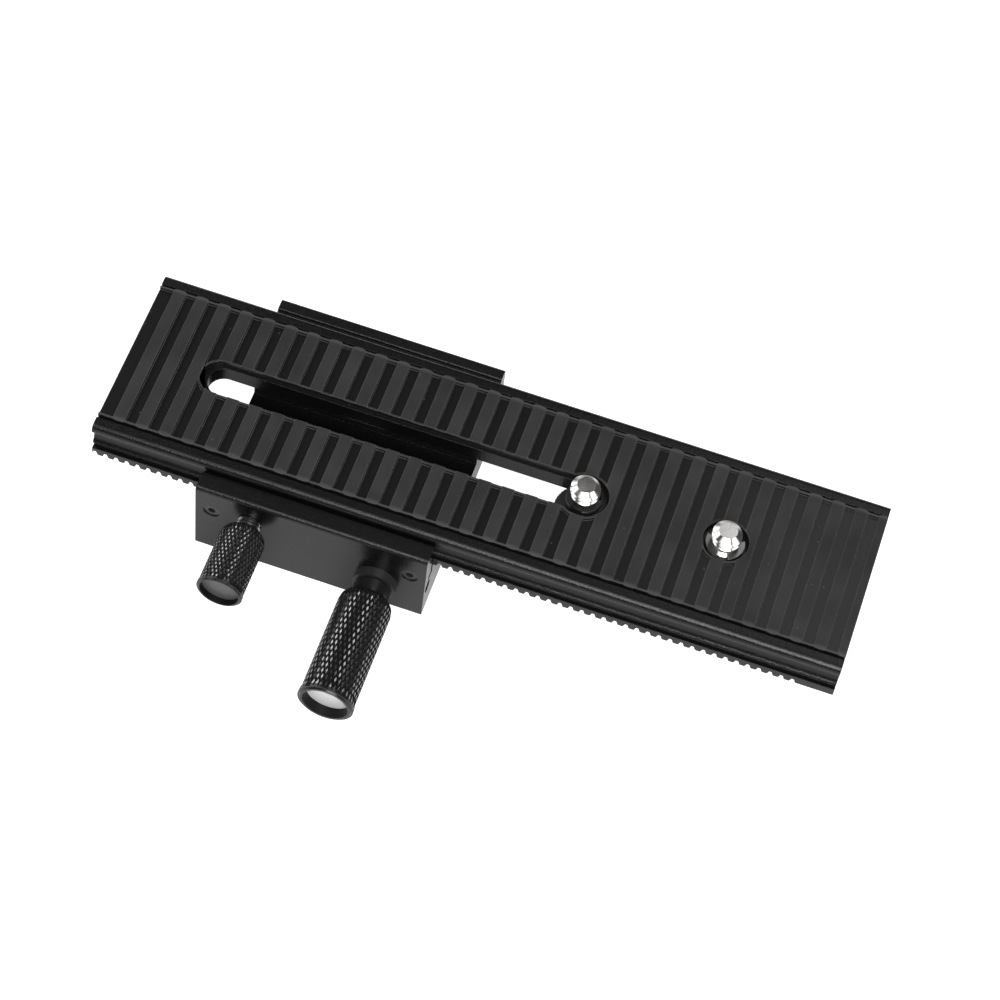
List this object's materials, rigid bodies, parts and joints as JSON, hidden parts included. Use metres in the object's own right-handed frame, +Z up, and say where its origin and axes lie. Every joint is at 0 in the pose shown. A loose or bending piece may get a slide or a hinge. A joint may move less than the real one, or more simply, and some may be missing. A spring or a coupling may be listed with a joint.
{
  "type": "macro focusing rail",
  "caption": "Focusing rail: a slotted plate with a ribbed rubber top, driven through a clamped carriage by a rack and pinion knob, with captive camera screws and a tripod socket.",
  "frame": {"origin": "mouth of the tripod socket, at the middle of the carriage's underside", "axes": "+X along the rail towards its end with the round camera-screw hole, +Y away from the knobs, +Z up"},
  "size_m": [0.16, 0.0824, 0.0275],
  "materials": {
    "anodised_black": "satin black anodised",
    "knob_black": "knurled, glossier black anodised",
    "grip_rubber": "matt ribbed",
    "nickel_steel": "bright nickel plated",
    "black_steel": "black oxide",
    "brass": "machined",
    "bare_aluminium": "fine turned"
  },
  "bodies": {
    "carriage": {"carriage_body": "anodised_black", "gib_strip": "anodised_black", "gib_screws": "black_steel", "bush_screw": "black_steel", "front_bush": "black_steel", "rear_bush": "brass", "tripod_bush": "nickel_steel"},
    "rail": {"rail_plate": "anodised_black", "grip_pad": "grip_rubber"},
    "slot_slider": {"slot_clip": "black_steel"},
    "slot_screw_turn": {"slot_screw": "nickel_steel"},
    "end_screw_turn": {"end_screw": "nickel_steel", "end_clip": "nickel_steel"},
    "drive": {"drive_shaft": "nickel_steel", "pinion": "brass", "thrust_washer": "brass", "drive_knob": "knob_black", "drive_knob_disc": "bare_aluminium", "knob_grub": "black_steel"},
    "clamp_pad": {"lock_pad": "brass"},
    "clamp_knob": {"lock_screw": "black_steel", "lock_knob": "knob_black", "lock_knob_disc": "bare_aluminium"}
  },
  "joints": [
    {"name": "rail_slide", "type": "slide", "parent": "carriage", "child": "rail", "axis": [1, 0, 0], "range_m": [-0.0845, 0.0245]},
    {"name": "drive_spin", "type": "hinge", "parent": "carriage", "child": "drive", "pos_m": [0.0147, -0.0256, 0.00855], "axis": [0, 1, 0], "range_deg": [-940, 285]},
    {"name": "clamp_feed", "type": "slide", "parent": "carriage", "child": "clamp_pad", "axis": [0, -1, 0], "range_m": [0, 0.0016]},
    {"name": "clamp_spin", "type": "hinge", "parent": "clamp_pad", "child": "clamp_knob", "pos_m": [-0.0132, -0.0277, 0.0139], "axis": [0, -1, 0], "range_deg": [-20, 740]},
    {"name": "slot_screw_slide", "type": "slide", "parent": "rail", "child": "slot_slider", "axis": [1, 0, 0], "range_m": [-0.0786, 0]},
    {"name": "slot_screw_spin", "type": "hinge", "parent": "slot_slider", "child": "slot_screw_turn", "pos_m": [0.0501, 0, 0.0232], "axis": [0, 0, 1], "continuous": true},
    {"name": "end_screw_spin", "type": "hinge", "parent": "rail", "child": "end_screw_turn", "pos_m": [0.0804, 0, 0.0232], "axis": [0, 0, 1], "continuous": true}
  ],
  "couplings": [
    {"joint": "drive_spin", "follows": "rail_slide", "rad_per_m": 190.48},
    {"joint": "clamp_spin", "follows": "clamp_feed", "rad_per_m": 7854}
  ]
}
